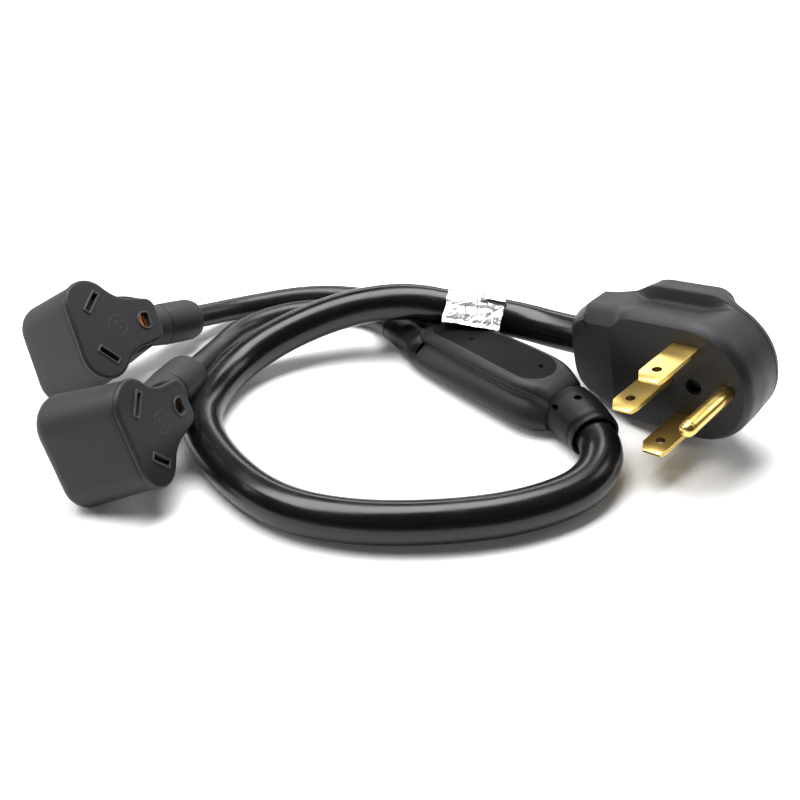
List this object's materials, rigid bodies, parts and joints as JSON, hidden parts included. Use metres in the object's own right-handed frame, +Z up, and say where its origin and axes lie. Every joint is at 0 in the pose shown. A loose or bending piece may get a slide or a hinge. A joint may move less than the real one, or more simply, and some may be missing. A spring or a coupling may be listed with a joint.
{
  "type": "y adapter cord for recreational vehicles",
  "caption": "Y adapter cord: a large straight-blade plug on a thick cord, a moulded junction, and branch cords to right-angle connectors.",
  "frame": {"origin": "on the surface that the adapter lies on, below the middle of the box of the plug, the junction and both connectors", "axes": "+X from the connectors towards the plug, +Y away from the side that the plug's blades point to, +Z up"},
  "size_m": [0.326, 0.1967, 0.0639],
  "materials": {
    "branch_jacket": "satin extruded jacket",
    "foil": "crinkled thin foil",
    "connector_vinyl": "fine matte moulded vinyl",
    "collar_vinyl": "fine matte moulded vinyl",
    "face_vinyl": "fine matte moulded vinyl",
    "copper": "dull stamped copper alloy",
    "insulation_black": "smooth insulation",
    "insulation_green": "smooth insulation",
    "insulation_white": "smooth insulation",
    "boot_vinyl": "fine matte moulded vinyl",
    "insulation_red": "smooth insulation",
    "junction_vinyl": "fine matte moulded vinyl",
    "thick_jacket": "semi-gloss extruded jacket with fine lengthwise streaks",
    "carrier_resin": "rigid moulded resin",
    "steel": "zinc-plated strip",
    "brass": "polished rolled brass",
    "plug_vinyl": "fine matte moulded vinyl",
    "tinned_copper": "tinned crimp barrel"
  },
  "bodies": {
    "root": {"branch_cord_front": "branch_jacket", "branch_cord_rear": "branch_jacket", "foil_label": "foil", "front_connector_body": "connector_vinyl", "front_connector_collar": "collar_vinyl", "front_connector_face": "face_vinyl", "front_connector_ground_contact": "copper", "front_connector_hot_contact": "copper", "front_connector_lead_black": "insulation_black", "front_connector_lead_green": "insulation_green", "front_connector_lead_white": "insulation_white", "front_connector_neutral_contact": "copper", "junction_boot_front": "boot_vinyl", "junction_boot_rear": "boot_vinyl", "junction_inlet_boot": "boot_vinyl", "junction_lead_black": "insulation_black", "junction_lead_front_black": "insulation_black", "junction_lead_front_green": "insulation_green", "junction_lead_front_white": "insulation_white", "junction_lead_green": "insulation_green", "junction_lead_rear_black": "insulation_black", "junction_lead_rear_green": "insulation_green", "junction_lead_rear_white": "insulation_white", "junction_lead_red": "insulation_red", "junction_lead_white": "insulation_white", "junction_overmould": "junction_vinyl", "main_cord": "thick_jacket", "plug_blade_carrier": "carrier_resin", "plug_cord_clip": "steel", "plug_ground_pin": "brass", "plug_hot_blade_lower": "brass", "plug_hot_blade_upper": "brass", "plug_lead_black": "insulation_black", "plug_lead_green": "insulation_green", "plug_lead_red": "insulation_red", "plug_lead_white": "insulation_white", "plug_neutral_blade": "brass", "plug_overmould": "plug_vinyl", "rear_connector_body": "connector_vinyl", "rear_connector_collar": "collar_vinyl", "rear_connector_face": "face_vinyl", "rear_connector_ground_contact": "copper", "rear_connector_hot_contact": "copper", "rear_connector_lead_black": "insulation_black", "rear_connector_lead_green": "insulation_green", "rear_connector_lead_white": "insulation_white", "rear_connector_neutral_contact": "copper", "splice_ground": "tinned_copper", "splice_hot_front": "tinned_copper", "splice_hot_rear": "tinned_copper", "splice_neutral": "tinned_copper"}
  },
  "joints": []
}
